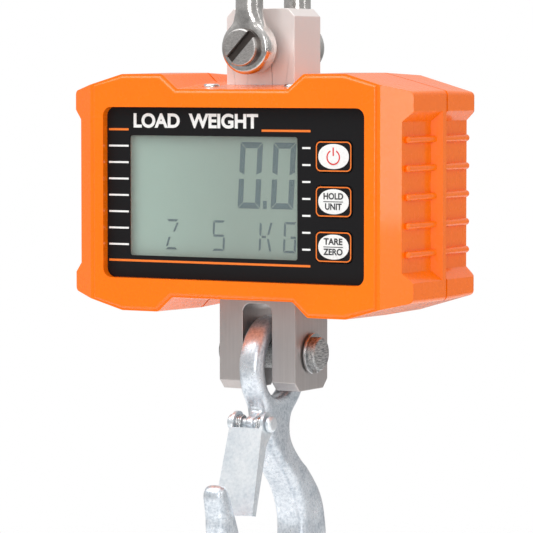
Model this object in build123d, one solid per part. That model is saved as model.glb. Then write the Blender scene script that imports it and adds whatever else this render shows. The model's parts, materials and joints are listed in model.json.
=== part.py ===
from build123d import *
from math import atan2, cos, degrees, radians, sin
import os

os.makedirs("parts", exist_ok=True)

# Hanging crane scale, millimetres. While modelling, x is to the right of someone facing the display,
# y runs back from the load axis and z up from the middle of the case. Each part is written out
# BOW_HEIGHT lower, so the finished origin is where a crane hook bears inside the top of the shackle.
BOW_HEIGHT = 103.7

# Case: two moulded shells that meet at the load axis.
CASE_WIDTH = 150.0
FRONT_Y = -33.0
FLARE_Y = -26.1
BACK_Y = 25.6
SEAM_Y = 0.9
SEAM = 1.1
GASKET_DEPTHS = (1.3, 3.0)
GASKET_WIDTH = 1.7
WALL = 3.0
FRONT_WALL_Y = -27.0
BACK_WALL_Y = 21.6
INNER_HALF_WIDTH = 68.5
CHANNEL_INSIDE = 36.5

# Side recesses with ribs.
RECESS_FLOOR = 71.2
RECESS_HALF_HEIGHT = 32.0
RECESS_BEVEL = 3.8
RIB_PITCH = 10.75
RIB_RADIUS = 1.3
RIB_TOP = 73.2

# Display panel: overlay, window, liquid crystal glass and keys.
PANEL_SIZE = (115.8, 66.5)
PANEL_Z = 0.0
PANEL_Y = -30.0
PANEL_CORNER = 3.6
OVERLAY = 0.6
OVERLAY_GAP = 0.15
WINDOW_X = (-47.4, 27.6)
WINDOW_Z = (-24.5, 22.2)
WINDOW_LEDGE = 1.5
KEY_SIZE = (15.6, 11.7)
KEY_CORNER = 2.0
KEY_FLANGE = 1.0
KEY_X = 43.4
KEY_Z = {"power_key": 15.05, "hold_key": -1.95, "tare_key": -19.0}
KEY_GAP = 0.3
KEY_PROUD = 0.3
BOARD_Y = -16.0
BOARD = 1.6
SOCKET_HEIGHT = 4.5
LCD_GLASS = 2.8
LCD_BACKLIGHT = 3.0

# Load cell: one steel bar with a lug above the case and a fork below it.
LUG = (30.2, 20.5)
LUG_TOP = 71.3
FORK = (34.0, 25.7)
FORK_TOP = -34.0
FORK_BOTTOM = -76.7
FORK_SLOT = 13.0
SLOT_TOP = -43.0
SHACKLE_PIN_Z = 56.2
HOOK_PIN_Z = -62.5
RELIEF_BORE = 8.0
RELIEF_Z = 10.0
BAR_GAP = 0.4
SEAL_MARGIN = 3.0
SEAL_TOP = 38.6
PIN_STICKS_OUT = 4.5
RING_RADIUS = 8.0

# Shackle.
BAR_RADIUS = 5.4
BOW_RADIUS = 18.7
EYE_RADIUS = 10.5
EYE_THICKNESS = 9.0
LEG_START = 14.0  # above the pin, where the round bar begins
LEG_ROOT = (8.6, 4.0)
SHACKLE_PIN_RADIUS = 5.5
PIN_HEAD = (7.2, 3.3)
PIN_SLOT = (4.4, 3.5)
PIN_SLOT_TURN = 46.0
PIN_RUNNING = 0.06

# Hook, in its own frame: origin on the hook pin, y back, z up.
HOOK_PIN_RADIUS = 6.5
HOOK_THICKNESS = 14.0
HOOK_EYE_THICKNESS = 10.4
HOOK_TIP_THICKNESS = 9.6
HOOK_EYE_INNER = 12.0
HOOK_EYE_OUTER = 20.5
HOOK_EYE_DROP = 5.45
HOOK_ROUNDING = 3.2
LATCH_PIVOT = (-14.2, -28.1)
LATCH_PIN_RADIUS = 2.0
LATCH_LEAN = 11.0
LUG_RADIUS = 3.6
LATCH_LUG_THICKNESS = 6.0

# Latch, in its own frame: origin on its pivot, y back, z up.
LATCH_LENGTH = 36.5
LATCH_SHEET = 1.2
LATCH_FRONT = -4.4
LATCH_FLANGE = 3.4
LATCH_TOP = -2.6
LATCH_HALF_TOP = 6.7
LATCH_HALF_BOTTOM = 8.0
LATCH_EAR = 4.5
RIVET_HALF = 8.4
RIVET_HEAD = (3.2, 1.9)
SLEEVE_RADIUS = 3.4
SLEEVE_X = (3.3, 5.9)

# Battery compartment for three AA cells.
CELL_RADIUS = 7.2
CELL_LENGTH = 50.5
CELL_PITCH = 14.7
CELL_Y = 12.9
CELL_X = -41.0
DOOR = (-65.0, -7.0, 28.4)
DOOR_THICKNESS = 2.0
DOOR_GAP = 0.3
CONTACT_GAP = 0.3
BOX_WALL = 1.2

# Screws: shank and head radius, and the pilot hole that the shank fills.
BOSS_RADIUS = 3.7
CASE_SCREW = {"shank": 1.25, "clear": 1.7, "head": 3.1, "seat": 3.4, "depth": 3.4, "tip_y": -12.0}
BOARD_SCREW = {"shank": 1.0, "clear": 1.3, "head": 2.2, "post": 2.6}
TOP_SCREW = {"shank": 1.65, "clear": 2.1, "head": 3.4, "seat": 3.8, "head_height": 1.7}
DOOR_SCREW = {"shank": 1.2, "pilot": 1.25, "clear": 1.7, "head": 2.9, "seat": 3.1, "boss": 3.4}
SEAT_DEPTH = 0.8
PAST = 1.0  # how far a cutting tool reaches past the surface it opens


def block(x, y, z):
    """A box between two coordinates along each axis."""
    size = [high - low for low, high in (x, y, z)]
    middle = [(high + low) / 2 for low, high in (x, y, z)]
    return Pos(*middle) * Box(*size)


def rod_x(radius, x, y, z):
    """A round bar along X, from x[0] to x[1]."""
    return Pos((x[0] + x[1]) / 2, y, z) * Rot(0, 90, 0) * Cylinder(radius, x[1] - x[0])


def rod_y(radius, x, y, z):
    """A round bar along Y, from y[0] to y[1]."""
    return Pos(x, (y[0] + y[1]) / 2, z) * Rot(90, 0, 0) * Cylinder(radius, y[1] - y[0])


def rod_z(radius, x, y, z):
    """A round bar along Z, from z[0] to z[1]."""
    return Pos(x, y, (z[0] + z[1]) / 2) * Cylinder(radius, z[1] - z[0])


def plate_y(width, height, radius, x, z, y):
    """A flat plate across Y with rounded corners, from y[0] to y[1]."""
    outline = Plane.XZ * Pos(x, z) * RectangleRounded(width, height, radius)
    return Pos(0, y[0], 0) * extrude(outline, -(y[1] - y[0]))


def write(name, shape):
    """Move a finished part into the scale's frame and write it."""
    shape = Pos(0, 0, -BOW_HEIGHT) * shape
    shape.label = name
    export_step(shape, f"parts/{name}.step")


# ---------------------------------------------------------------- case shells

def case_outline(y, side, plateau, top_notch, bottom_notch):
    """One cross-section of the case. A notch is (shoulder x, floor x, floor z)."""
    shoulder, floor_x, floor_z = top_notch
    right = [(floor_x, floor_z), (shoulder, plateau[1]), plateau, side]
    shoulder, floor_x, floor_z = bottom_notch
    right += [(side[0], -side[1]), (plateau[0], -plateau[1]), (shoulder, -plateau[1]), (floor_x, -floor_z)]
    left = [(-x, z) for x, z in reversed(right)]
    return make_face(Polyline([(x, y, z) for x, z in right + left], close=True))


SIDE_X = CASE_WIDTH / 2
PLATE_SECTION = {"side": (62.9, 41.8), "plateau": (49.2, 45.5),
                 "top_notch": (31.8, 24.7, 39.8), "bottom_notch": (33.6, 27.0, 39.8)}
FLARE_START = {"side": (64.2, 41.9), "plateau": (49.6, 46.0),
               "top_notch": (31.4, 24.4, 40.2), "bottom_notch": (33.2, 26.7, 40.2)}
FLARE_END = {"side": (SIDE_X, 39.3), "plateau": (49.2, 46.1),
             "top_notch": (31.4, 24.8, 40.6), "bottom_notch": (33.4, 27.4, 40.6)}
SEAM_SECTION = {"side": (SIDE_X, 39.6), "plateau": (48.3, 46.5),
                "top_notch": (30.7, 26.8, 42.8), "bottom_notch": (33.8, 30.0, 42.8)}
BACK_SECTION = {"side": (SIDE_X, 38.8), "plateau": (52.0, 45.5),
                "top_notch": (30.7, 26.8, 42.2), "bottom_notch": (33.8, 30.0, 42.2)}


def inside(section, y):
    """The cavity's cross-section for an outer one."""
    top_shoulder, top_floor, _ = section["top_notch"]
    bottom_shoulder, bottom_floor, _ = section["bottom_notch"]
    return case_outline(
        y,
        (INNER_HALF_WIDTH, section["side"][1] - WALL),
        (section["plateau"][0] - 1, section["plateau"][1] - WALL),
        (top_shoulder + WALL + 2, top_floor + WALL, CHANNEL_INSIDE),
        (bottom_shoulder + WALL + 2, bottom_floor + WALL, CHANNEL_INSIDE),
    )


def long_edges(shape, low, high):
    """The edges that run from front to back between two depths."""
    found = []
    for edge in shape.edges():
        ends = sorted([edge.position_at(0).Y, edge.position_at(1).Y])
        if abs(ends[0] - low) < 0.01 and abs(ends[1] - high) < 0.01:
            found.append(edge)
    return found


def side_recess(side, y_near, y_far, bevel_far):
    """The tool that cuts one side recess. Its far end is bevelled where bevel_far is given."""
    reach = SIDE_X + 1.0
    spread = RECESS_BEVEL * (reach - RECESS_FLOOR) / (SIDE_X - RECESS_FLOOR)
    low = RECESS_HALF_HEIGHT - RECESS_BEVEL
    sections = []
    for x, grow in ((RECESS_FLOOR, 0.0), (reach, spread)):
        far = y_far + bevel_far * grow
        z = low + grow
        corners = [(side * x, y_near, -z), (side * x, far, -z), (side * x, far, z), (side * x, y_near, z)]
        sections.append(make_face(Polyline(corners, close=True)))
    return loft(sections, ruled=True)


def ribs(side, y_start, y_end):
    """Five round-topped grip ribs on one side."""
    bars = []
    centre = side * (RIB_TOP - RIB_RADIUS)
    for step in range(-2, 3):
        z = step * RIB_PITCH
        bars.append(rod_y(RIB_RADIUS, centre, (y_start, y_end), z))
        bars.append(Pos(centre, y_start, z) * Sphere(RIB_RADIUS))
        root = sorted((side * (RECESS_FLOOR - 0.5), centre))
        bars.append(block(root, (y_start, y_end), (z - RIB_RADIUS, z + RIB_RADIUS)))
    return bars


CASE_SCREWS = [(x, z) for x in (-63.5, 63.5) for z in (-33.0, 33.0)]
BOARD_POSTS = [(x, z) for x in (-54.5, 54.5) for z in (-27.0, 27.0)]
TOP_SCREWS = [(x, y) for x in (-18.0, 18.0) for y in (-17.0, 17.0)]
DOOR_SCREWS = [(-12.5, -18.0), (-12.5, 18.0)]


def screw_seat(y):
    """Height of the flat seat for a channel screw's head, just below the channel floor at depth y."""
    slope = (SEAM_SECTION["top_notch"][2] - FLARE_END["top_notch"][2]) / -FLARE_Y
    floor = SEAM_SECTION["top_notch"][2] - slope * abs(y)
    return floor - SEAT_DEPTH


def round_bar(size, margin, z):
    """A block that stands a margin clear of a bar of the given size on all four sides."""
    half_x = size[0] / 2 + margin
    half_y = size[1] / 2 + margin
    return block((-half_x, half_x), (-half_y, half_y), z)


def bar_openings():
    """Tools that cut the two openings the load cell passes through, their seal seats and screw holes."""
    above = SEAM_SECTION["top_notch"][2] + PAST
    inner = CHANNEL_INSIDE - PAST
    tools = [round_bar(LUG, BAR_GAP, (inner, above)), round_bar(FORK, BAR_GAP, (-above, -inner)),
             round_bar(LUG, SEAL_MARGIN, (inner, SEAL_TOP)), round_bar(FORK, SEAL_MARGIN, (-SEAL_TOP, -inner))]
    for x, y in TOP_SCREWS:
        tools.append(rod_z(TOP_SCREW["clear"], x, y, (inner, above)))
        tools.append(rod_z(TOP_SCREW["seat"], x, y, (screw_seat(y), above)))
    return tools


def make_front_shell():
    """Front shell: raised bezel plate, flare, straight body, display recess and ribbed sides."""
    plate = extrude(case_outline(FRONT_Y, **PLATE_SECTION), 2.0, dir=(0, 1, 0))
    plate = fillet(plate.edges().group_by(Axis.Y)[0], 1.5)
    body = loft([case_outline(FRONT_Y + 0.8, **FLARE_START), case_outline(FLARE_Y, **FLARE_END)], ruled=True)
    body += loft([case_outline(FLARE_Y, **FLARE_END), case_outline(SEAM_Y, **SEAM_SECTION)], ruled=True)
    body = fillet(long_edges(body, FLARE_Y, SEAM_Y), 2.0)
    body += plate
    body -= loft([inside(FLARE_END, FRONT_WALL_Y), inside(SEAM_SECTION, SEAM_Y + 0.5)], ruled=True)
    body -= plate_y(*PANEL_SIZE, PANEL_CORNER, 0, PANEL_Z, (FRONT_Y - PAST, PANEL_Y + OVERLAY))
    for side in (-1, 1):
        body -= side_recess(side, FRONT_Y - 2, SEAM_Y - 5.4, 0.65)
        body += ribs(side, FRONT_Y + 8.2, SEAM_Y - 2.4)
    for x, z in CASE_SCREWS:
        body += rod_y(BOSS_RADIUS, x, (FRONT_WALL_Y - PAST, SEAM_Y), z)
        body -= rod_y(CASE_SCREW["shank"], x, (CASE_SCREW["tip_y"] - 2, SEAM_Y + PAST), z)
    for x, z in BOARD_POSTS:
        body += rod_y(BOARD_SCREW["post"], x, (FRONT_WALL_Y - 0.5, BOARD_Y), z)
        body -= rod_y(BOARD_SCREW["shank"], x, (BOARD_Y - 6, BOARD_Y), z)
    body -= window_opening(WINDOW_LEDGE, (PANEL_Y, FRONT_WALL_Y + PAST))
    for z in KEY_Z.values():
        body -= key_opening(z, (PANEL_Y, FRONT_WALL_Y + PAST))
    for tool in bar_openings():
        body -= tool
    return body


def make_back_shell():
    """Back shell with the battery opening, door screw bosses and case screw tubes."""
    sections = [case_outline(SEAM_Y + SEAM, **SEAM_SECTION), case_outline(BACK_Y, **BACK_SECTION)]
    body = loft(sections, ruled=True)
    body = fillet(long_edges(body, SEAM_Y + SEAM, BACK_Y), 2.0)
    body = fillet(body.edges().group_by(Axis.Y)[-1], 1.4)
    body -= loft([inside(SEAM_SECTION, SEAM_Y + SEAM - 0.5), inside(BACK_SECTION, BACK_WALL_Y)], ruled=True)
    for side in (-1, 1):
        body -= side_recess(side, SEAM_Y, BACK_Y + 1, 0.0)
        body += ribs(side, SEAM_Y + SEAM + RIB_RADIUS, BACK_Y - 1.6)
    for x, z in CASE_SCREWS:
        body += rod_y(BOSS_RADIUS, x, (SEAM_Y + SEAM, BACK_WALL_Y + PAST), z)
        body -= rod_y(CASE_SCREW["clear"], x, (0, BACK_Y), z)
        body -= rod_y(CASE_SCREW["seat"], x, (BACK_Y - CASE_SCREW["depth"], BACK_Y + PAST), z)
    body -= door_plate(DOOR_GAP, (BACK_Y - DOOR_THICKNESS, BACK_Y + PAST))
    body -= block((-63.2, -18.8), (15, BACK_Y), (-27.2, 27.2))
    for x, z in DOOR_SCREWS:
        body += rod_y(DOOR_SCREW["boss"], x, (14.0, BACK_WALL_Y + PAST), z)
        body -= rod_y(DOOR_SCREW["pilot"], x, (15.0, BACK_Y), z)
    for tool in bar_openings():
        body -= tool
    return body


def seam_outline(amount):
    """The seam's outline, made smaller by an amount all round."""
    section = SEAM_SECTION
    top, bottom = section["top_notch"], section["bottom_notch"]
    return case_outline(
        SEAM_Y,
        (section["side"][0] - amount, section["side"][1] - amount),
        (section["plateau"][0], section["plateau"][1] - amount),
        (top[0] + amount, top[1] + amount / 2, top[2] - amount),
        (bottom[0] + amount, bottom[1] + amount / 2, bottom[2] - amount),
    )


def make_case_gasket():
    """Rubber cord gasket in the seam, which steps inwards behind the side recesses."""
    near, far = GASKET_DEPTHS
    across = (SEAM_Y, SEAM_Y + SEAM)
    ring = extrude(seam_outline(near), SEAM, dir=(0, 1, 0)) - extrude(seam_outline(far), SEAM, dir=(0, 1, 0))
    outer_x = RECESS_FLOOR - 1.0
    inner_x = outer_x - GASKET_WIDTH
    step_z = (RECESS_HALF_HEIGHT + 1, RECESS_HALF_HEIGHT + 3)
    for side in (-1, 1):
        ring -= block(sorted((side * outer_x, side * (SIDE_X + PAST))), (-1, 4), (-step_z[0], step_z[0]))
        ring += block(sorted((side * inner_x, side * outer_x)), across, (-step_z[1], step_z[1]))
        for end in (-1, 1):
            z = sorted((end * step_z[0], end * step_z[1]))
            ring += block(sorted((side * inner_x, side * (SIDE_X - 1.5))), across, z)
    ring -= round_bar(LUG, BAR_GAP, (30, 50))
    return ring - round_bar(FORK, BAR_GAP, (-50, -30))


# ---------------------------------------------------------------- display panel

def window_opening(grow, y):
    """The display window's outline, made larger by grow on every side."""
    width = WINDOW_X[1] - WINDOW_X[0] + 2 * grow
    height = WINDOW_Z[1] - WINDOW_Z[0] + 2 * grow
    middle_x = (WINDOW_X[0] + WINDOW_X[1]) / 2
    middle_z = (WINDOW_Z[0] + WINDOW_Z[1]) / 2
    return plate_y(width, height, 1.0 + grow / 2, middle_x, middle_z, y)


def key_opening(z, y):
    """The hole a key moves in, a gap larger than the key on every side."""
    width, height = KEY_SIZE
    return plate_y(width + 2 * KEY_GAP, height + 2 * KEY_GAP, KEY_CORNER + KEY_GAP, KEY_X, z, y)


def make_front_overlay():
    """Printed black overlay with the window and key openings."""
    width, height = PANEL_SIZE
    radius = PANEL_CORNER - OVERLAY_GAP
    depth = (PANEL_Y, PANEL_Y + OVERLAY)
    film = plate_y(width - 2 * OVERLAY_GAP, height - 2 * OVERLAY_GAP, radius, 0, PANEL_Z, depth)
    film -= window_opening(0, (PANEL_Y - PAST, PANEL_Y + OVERLAY + PAST))
    for z in KEY_Z.values():
        film -= key_opening(z, (PANEL_Y - PAST, PANEL_Y + OVERLAY + PAST))
    return film


def make_display_window():
    """Clear window bonded behind the overlay, in the shell's opening."""
    return window_opening(WINDOW_LEDGE - 0.1, (PANEL_Y + OVERLAY, PANEL_Y + OVERLAY + 1.2))


def make_lcd_glass():
    """Liquid crystal glass against the back of the front wall."""
    return block((-51, 31), (FRONT_WALL_Y, FRONT_WALL_Y + LCD_GLASS), (-29, 26))


def make_lcd_backlight():
    """Light guide behind the glass."""
    front = FRONT_WALL_Y + LCD_GLASS
    return block((-50, 30), (front, front + LCD_BACKLIGHT), (-25.5, 25.5))


def make_lcd_connector():
    """Rubber strip connector between the glass edge and the board."""
    return block((-42, 22), (FRONT_WALL_Y + LCD_GLASS, BOARD_Y), (-28.6, -26.2))


def make_main_board():
    """Main circuit board on four posts."""
    board = block((-57.5, 57.5), (BOARD_Y, BOARD_Y + BOARD), (-30, 30))
    for x, z in BOARD_POSTS:
        board -= rod_y(BOARD_SCREW["clear"], x, (BOARD_Y - PAST, BOARD_Y + BOARD + PAST), z)
    return board


def make_board_screws():
    """Four screws that hold the board to its posts."""
    screws = []
    head_y = BOARD_Y + BOARD
    for x, z in BOARD_POSTS:
        head = rod_y(BOARD_SCREW["head"], x, (head_y, head_y + 1.5), z)
        screws.append(head + rod_y(BOARD_SCREW["shank"], x, (BOARD_Y - 5, head_y), z))
    return Compound(screws)


def make_board_parts():
    """Controller, converter, regulator and the two wire sockets on the back of the board."""
    y = BOARD_Y + BOARD
    chips = [((26, 38), (-8, 4), 1.6), ((26, 36), (12, 18), 1.8), ((-34, -26), (8, 14), 2.0),
             ((28, 38), (-24, -19), SOCKET_HEIGHT), ((-40, -30), (-24, -19), SOCKET_HEIGHT)]
    return Compound([block(x, (y, y + height), z) for x, z, height in chips])


def make_key_switches():
    """Three tact switches on the front of the board."""
    switches = []
    for z in KEY_Z.values():
        body = block((KEY_X - 3, KEY_X + 3), (BOARD_Y - 3.2, BOARD_Y), (z - 3, z + 3))
        switches.append(body + rod_y(1.7, KEY_X, (BOARD_Y - 3.9, BOARD_Y - 3), z))
    return Compound(switches)


def make_key(z):
    """One key: cap through the overlay, retaining flange and stem."""
    width, height = KEY_SIZE
    flange_y = FRONT_WALL_Y + 0.3
    cap = plate_y(width, height, KEY_CORNER, KEY_X, z, (PANEL_Y - KEY_PROUD, flange_y + 0.5))
    cap += plate_y(width + 2 * KEY_FLANGE, height + 2 * KEY_FLANGE, KEY_CORNER + KEY_FLANGE, KEY_X, z,
                   (flange_y, flange_y + 1))
    return cap + rod_y(2.0, KEY_X, (FRONT_WALL_Y + 1, BOARD_Y - 5.0), z)


# ---------------------------------------------------------------- load cell and pins

def make_load_cell():
    """Steel bar: lug with a cross bore, sensing section with two relief bores, and the slotted fork."""
    cell = block((-LUG[0] / 2, LUG[0] / 2), (-LUG[1] / 2, LUG[1] / 2), (FORK_TOP, LUG_TOP))
    cell = chamfer(cell.edges().filter_by(Axis.Y).group_by(Axis.Z)[-1], 3.0)
    fork = block((-FORK[0] / 2, FORK[0] / 2), (-FORK[1] / 2, FORK[1] / 2), (FORK_BOTTOM, FORK_TOP))
    fork = chamfer(fork.edges().filter_by(Axis.X).group_by(Axis.Z)[0], 3.4)
    slot = block((-FORK_SLOT / 2, FORK_SLOT / 2), (-FORK[1], FORK[1]), (FORK_BOTTOM - 1, SLOT_TOP))
    slot = fillet(slot.edges().filter_by(Axis.Y).group_by(Axis.Z)[-1], 3.5)
    cell += fork
    cell -= slot
    cell -= rod_y(SHACKLE_PIN_RADIUS + PIN_RUNNING, 0, (-20, 20), SHACKLE_PIN_Z)
    cell -= rod_x(HOOK_PIN_RADIUS, (-20, 20), 0, HOOK_PIN_Z)
    for z in (-RELIEF_Z, RELIEF_Z):
        cell -= rod_y(RELIEF_BORE, 0, (-20, 20), z)
    cell -= block((-2, 2), (-20, 20), (-RELIEF_Z, RELIEF_Z))
    return cell


def make_strain_gauges():
    """Four foil gauges on the thin walls beside the relief bores."""
    foils = []
    for side in (-1, 1):
        for z in (-RELIEF_Z, RELIEF_Z):
            x = sorted((side * LUG[0] / 2, side * (LUG[0] / 2 + 0.4)))
            foils.append(block(x, (-4, 4), (z - 5, z + 5)))
    return Compound(foils)


def ring_plate(size, outer, z):
    """A rectangular ring that fits round a bar of the given size."""
    ring = block((-outer[0] / 2, outer[0] / 2), (-outer[1] / 2, outer[1] / 2), z)
    return ring - block((-size[0] / 2, size[0] / 2), (-size[1] / 2, size[1] / 2), (z[0] - 1, z[1] + 1))


def make_upper_bracket():
    """Steel plate on the bar that the top screws pull the case against."""
    plate = ring_plate(LUG, (46, 40.4), (CHANNEL_INSIDE - 2.5, CHANNEL_INSIDE))
    for x, y in TOP_SCREWS:
        plate -= rod_z(TOP_SCREW["shank"], x, y, (30, 40))
    return plate


def make_seal(size, z):
    """Rubber seal round the bar, under the channel floor."""
    return ring_plate(size, (size[0] + 5.6, size[1] + 5.6), z)


def make_top_screws():
    """Domed socket screws in the top channel's floor, through the shells into the bracket."""
    screws = []
    for x, y in TOP_SCREWS:
        floor = screw_seat(y)
        top = floor + TOP_SCREW["head_height"]
        head = rod_z(TOP_SCREW["head"], x, y, (floor, top))
        head = fillet(head.edges().group_by(Axis.Z)[-1], 1.3)
        head -= Pos(x, y, top) * extrude(RegularPolygon(1.4, 6), -1.1)
        screws.append(head + rod_z(TOP_SCREW["shank"], x, y, (CHANNEL_INSIDE - 4, floor)))
    return Compound(screws)


def make_case_screws():
    """Four long screws from the back shell into the front shell."""
    screws = []
    seat = BACK_Y - CASE_SCREW["depth"]
    for x, z in CASE_SCREWS:
        head = rod_y(CASE_SCREW["head"], x, (seat, seat + 2.4), z) - rod_y(1.2, x, (seat + 0.9, seat + 3), z)
        screws.append(head + rod_y(CASE_SCREW["shank"], x, (CASE_SCREW["tip_y"], seat), z))
    return Compound(screws)


def make_hook_pin():
    """Pin through the fork, with a ring groove near each end."""
    end = FORK[0] / 2 + PIN_STICKS_OUT
    pin = rod_x(HOOK_PIN_RADIUS, (-end, end), 0, HOOK_PIN_Z)
    for side in (-1, 1):
        groove = sorted((side * (FORK[0] / 2 + 0.6), side * (FORK[0] / 2 + 1.7)))
        collar = rod_x(HOOK_PIN_RADIUS + 1, groove, 0, HOOK_PIN_Z)
        pin -= collar - rod_x(HOOK_PIN_RADIUS - 0.9, groove, 0, HOOK_PIN_Z)
    return chamfer(pin.faces().sort_by(Axis.X)[0].edges() + pin.faces().sort_by(Axis.X)[-1].edges(), 0.6)


def make_pin_rings():
    """Two retaining rings in the pin's grooves."""
    rings = []
    for side in (-1, 1):
        x = sorted((side * (FORK[0] / 2 + 0.65), side * (FORK[0] / 2 + 1.65)))
        ring = rod_x(RING_RADIUS, x, 0, HOOK_PIN_Z) - rod_x(HOOK_PIN_RADIUS - 0.85, x, 0, HOOK_PIN_Z)
        ring -= block((x[0] - 1, x[1] + 1), (-1.8, 1.8), (HOOK_PIN_Z - 10, HOOK_PIN_Z))
        rings.append(ring)
    return Compound(rings)


# ---------------------------------------------------------------- shackle

def make_shackle_bow():
    """Round bar bent into a bow, with a flattened eye on each leg."""
    bend_z = BOW_HEIGHT - BOW_RADIUS + BAR_RADIUS
    leg_z = SHACKLE_PIN_Z + LEG_START
    path = Line((0, -BOW_RADIUS, leg_z), (0, -BOW_RADIUS, bend_z))
    path += ThreePointArc((0, -BOW_RADIUS, bend_z), (0, 0, bend_z + BOW_RADIUS), (0, BOW_RADIUS, bend_z))
    path += Line((0, BOW_RADIUS, bend_z), (0, BOW_RADIUS, leg_z))
    start = Plane((0, -BOW_RADIUS, leg_z), z_dir=(0, 0, 1))
    bow = sweep(start * Circle(BAR_RADIUS), path)
    for side in (-1, 1):
        y = sorted((side * BOW_RADIUS - EYE_THICKNESS / 2, side * BOW_RADIUS + EYE_THICKNESS / 2))
        eye = rod_y(EYE_RADIUS, 0, y, SHACKLE_PIN_Z)
        bow += fillet(eye.edges(), 1.5)
        taper_top = Plane((0, side * BOW_RADIUS, leg_z), z_dir=(0, 0, 1)) * Circle(BAR_RADIUS)
        taper_low = Plane((0, side * BOW_RADIUS, SHACKLE_PIN_Z + 4), z_dir=(0, 0, 1)) * Ellipse(*LEG_ROOT)
        bow += loft([taper_low, taper_top])
        bow -= rod_y(SHACKLE_PIN_RADIUS, 0, (y[0] - 1, y[1] + 1), SHACKLE_PIN_Z)
    return bow


def make_shackle_pin():
    """Slotted screw pin: low round head at the front, shank into the rear eye."""
    face = -BOW_RADIUS - EYE_THICKNESS / 2
    radius, height = PIN_HEAD
    head = rod_y(radius, 0, (face - height, face), SHACKLE_PIN_Z)
    head = fillet(head.edges().group_by(Axis.Y)[0], 0.8)
    depth, width = PIN_SLOT
    slot = Box(20, depth, width)
    head -= Pos(0, face - height, SHACKLE_PIN_Z) * Rot(0, -PIN_SLOT_TURN, 0) * slot
    end = BOW_RADIUS + EYE_THICKNESS / 2 + 1.0
    shank = rod_y(SHACKLE_PIN_RADIUS, 0, (face, end), SHACKLE_PIN_Z)
    shank = chamfer(shank.edges().group_by(Axis.Y)[-1], 0.8)
    return head + shank


# ---------------------------------------------------------------- hook and latch

def eye_point(angle):
    """A point on the hook eye's outer edge and the direction along it, clockwise, at an angle in degrees."""
    turn = radians(angle)
    point = (HOOK_EYE_OUTER * cos(turn), HOOK_EYE_OUTER * sin(turn) - HOOK_EYE_DROP)
    return point, (sin(turn), -cos(turn))


def hook_blank():
    """The forged hook's side outline: eye, neck, back arm, bowl and tip, and the latch lug beside it."""
    neck_back, back_way = eye_point(-50)
    neck_front, front_way = eye_point(230)
    tip_back, tip_top, tip_front = (-43.0, -57.5), (-40.2, -51.3), (-35.0, -53.8)
    outer = [neck_back, (8.3, -30.5), (22.0, -45), (33.5, -55.5), (38.9, -68), (39.4, -84), (33, -101.5),
             (17, -114), (-2, -117), (-17.5, -110), (-29, -98), (-35.2, -84), (-39.2, -70), tip_back]
    inner = [tip_front, (-28.6, -64.5), (-23.4, -74.5), (-19.2, -86.5), (-10.5, -94.6), (0, -96.2),
             (10.6, -91.6), (17.3, -81), (19.2, -70), (15.2, -58.5), (5.0, -48.0), (-5.4, -37.5), neck_front]
    back = Spline(outer, tangents=[back_way, (-0.35, 1)])
    bowl = Spline(inner, tangents=[(0.5, -1), front_way])
    tip = ThreePointArc(tip_back, tip_top, tip_front)
    eye = ThreePointArc(neck_front, (0, HOOK_EYE_OUTER - HOOK_EYE_DROP), neck_back)
    hole = Pos(0, -HOOK_EYE_DROP) * Circle(HOOK_EYE_INNER)
    lug_y, lug_z = LATCH_PIVOT
    lug = Pos(lug_y, lug_z) * Circle(LUG_RADIUS)
    web = [(lug_y, lug_z + LUG_RADIUS), (-5, -21), (-3, -37), (lug_y, lug_z - LUG_RADIUS)]
    lug += make_face(Polyline(web, close=True))
    return make_face([back, tip, bowl, eye]) - hole, lug


def hook_side(sketch, thickness):
    """Stand a side outline up in the YZ plane and give it a thickness, centred on the load axis."""
    return extrude(Plane.YZ * sketch, thickness / 2, both=True)


def make_hook():
    """The hook with its latch lug, hanging from the origin."""
    outline, lug = hook_blank()
    hook = hook_side(outline, HOOK_THICKNESS)
    wide = HOOK_THICKNESS / 2
    for side in (-1, 1):
        eye_half = side * HOOK_EYE_THICKNESS / 2
        past = side * (wide + 1)
        above = [(eye_half, 30), (eye_half, -26), (side * wide, -46), (past, -46), (past, 30)]
        hook -= extrude(Plane.XZ * make_face(Polyline(above, close=True)), 60, both=True)
        tip_half = side * HOOK_TIP_THICKNESS / 2
        ahead = [(tip_half, -60), (tip_half, -26), (side * wide, 2), (past, 2), (past, -60)]
        hook -= Pos(0, 0, -45) * extrude(make_face(Polyline(ahead, close=True)), -100)
    rims = [edge for edge in hook.edges() if edge.geom_type == GeomType.CIRCLE
            and abs(edge.radius - HOOK_EYE_INNER) < 0.01]
    hook = fillet(rims, HOOK_ROUNDING)
    hook += hook_side(lug, LATCH_LUG_THICKNESS)
    hook -= rod_x(LATCH_PIN_RADIUS + 0.05, (-10, 10), *LATCH_PIVOT)
    return hook


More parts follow.
